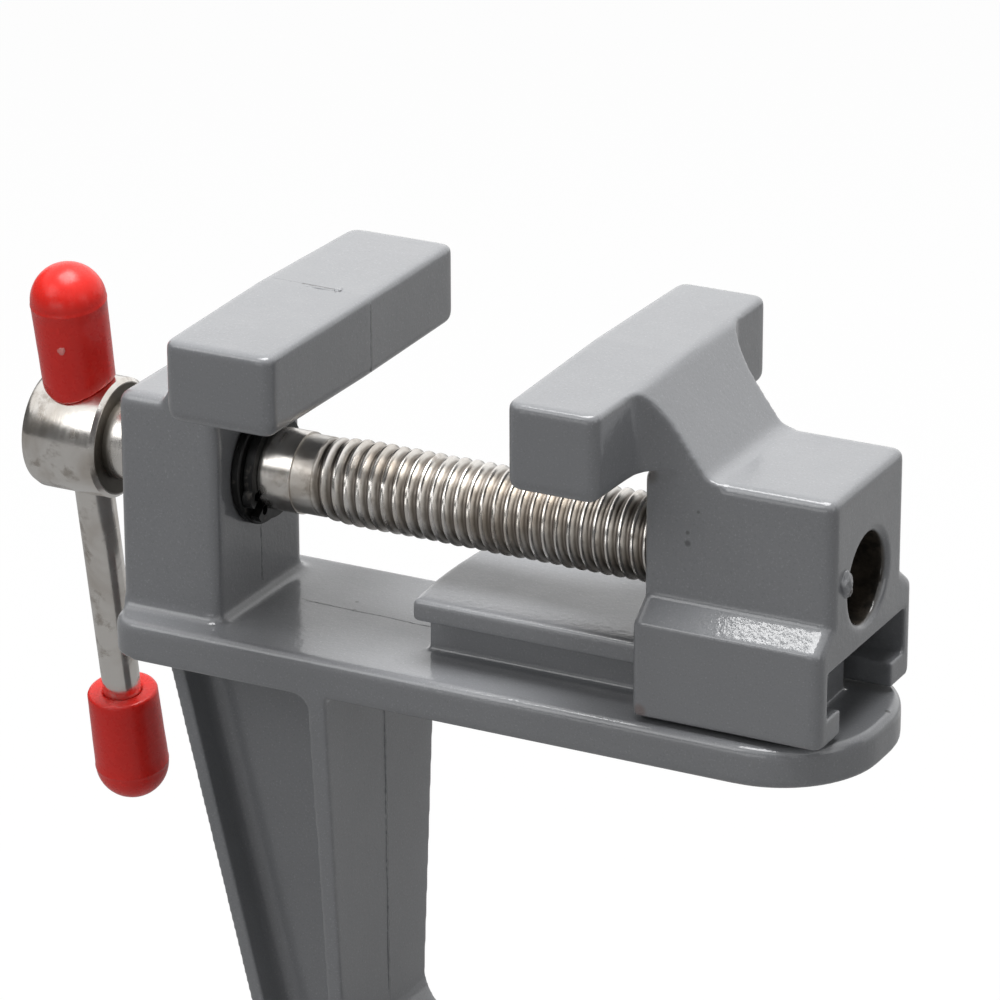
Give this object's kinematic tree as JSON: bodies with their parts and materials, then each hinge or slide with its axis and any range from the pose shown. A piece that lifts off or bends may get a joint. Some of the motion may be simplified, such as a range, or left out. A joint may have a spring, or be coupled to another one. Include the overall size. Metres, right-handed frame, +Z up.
{
  "type": "clamp-on bench vise",
  "caption": "Small clamp-on bench vise: cast C-frame with fixed jaw and slide rail, sliding jaw driven by a lead screw with sliding T-bar, and a clamp screw with swivel pad below the deck.",
  "frame": {"origin": "the point where the axis of the clamp screw meets the table face, the flat underside of the deck", "axes": "+Z up out of the table top, +X along the main screw from its T-bar end to the deck's rounded end, so the moving jaw opens towards +X, and +Y across the jaws; the XZ plane is the casting's mid-plane"},
  "size_m": [0.087, 0.035, 0.1363],
  "materials": {
    "casting_paint": "grey paint with a fine sparkle over the skin of a die casting, satin",
    "nickel_steel": "bright nickel plating on turned steel",
    "black_steel": "black oxide on spring steel, slightly oily",
    "red_cap": "glossy red moulded plastic"
  },
  "bodies": {
    "frame": {"vise_frame": "casting_paint"},
    "jaw": {"moving_jaw": "casting_paint"},
    "screw": {"main_screw": "nickel_steel", "thrust_washer": "black_steel", "retaining_ring": "black_steel"},
    "handle": {"main_tbar": "nickel_steel", "main_cap_upper": "red_cap", "main_cap_lower": "red_cap"},
    "pad": {"clamp_pad": "nickel_steel"},
    "table_screw": {"clamp_screw": "nickel_steel"},
    "table_handle": {"clamp_tbar": "nickel_steel", "clamp_cap_a": "red_cap", "clamp_cap_b": "red_cap"}
  },
  "joints": [
    {"name": "jaw_slide", "type": "slide", "parent": "frame", "child": "jaw", "axis": [1, 0, 0], "range_m": [-0.0224, 0]},
    {"name": "screw_turn", "type": "hinge", "parent": "frame", "child": "screw", "pos_m": [-0.027, 0, 0.0169], "axis": [1, 0, 0], "range_deg": [-10, 6460]},
    {"name": "tbar_slide", "type": "slide", "parent": "screw", "child": "handle", "axis": [0, -0.1736, 0.9848], "range_m": [0, 0.0228]},
    {"name": "clamp_slide", "type": "slide", "parent": "frame", "child": "pad", "axis": [0, 0, 1], "range_m": [0, 0.035]},
    {"name": "clamp_turn", "type": "hinge", "parent": "pad", "child": "table_screw", "pos_m": [0, 0, -0.06], "axis": [0, 0, 1], "range_deg": [-10, 10090]},
    {"name": "clamp_tbar_slide", "type": "slide", "parent": "table_screw", "child": "table_handle", "axis": [0.8829, 0.4695, 0], "range_m": [-0.0114, 0.0114]}
  ],
  "couplings": [
    {"joint": "screw_turn", "follows": "jaw_slide", "rad_per_m": -5026.5},
    {"joint": "clamp_turn", "follows": "clamp_slide", "rad_per_m": 5026.5}
  ]
}
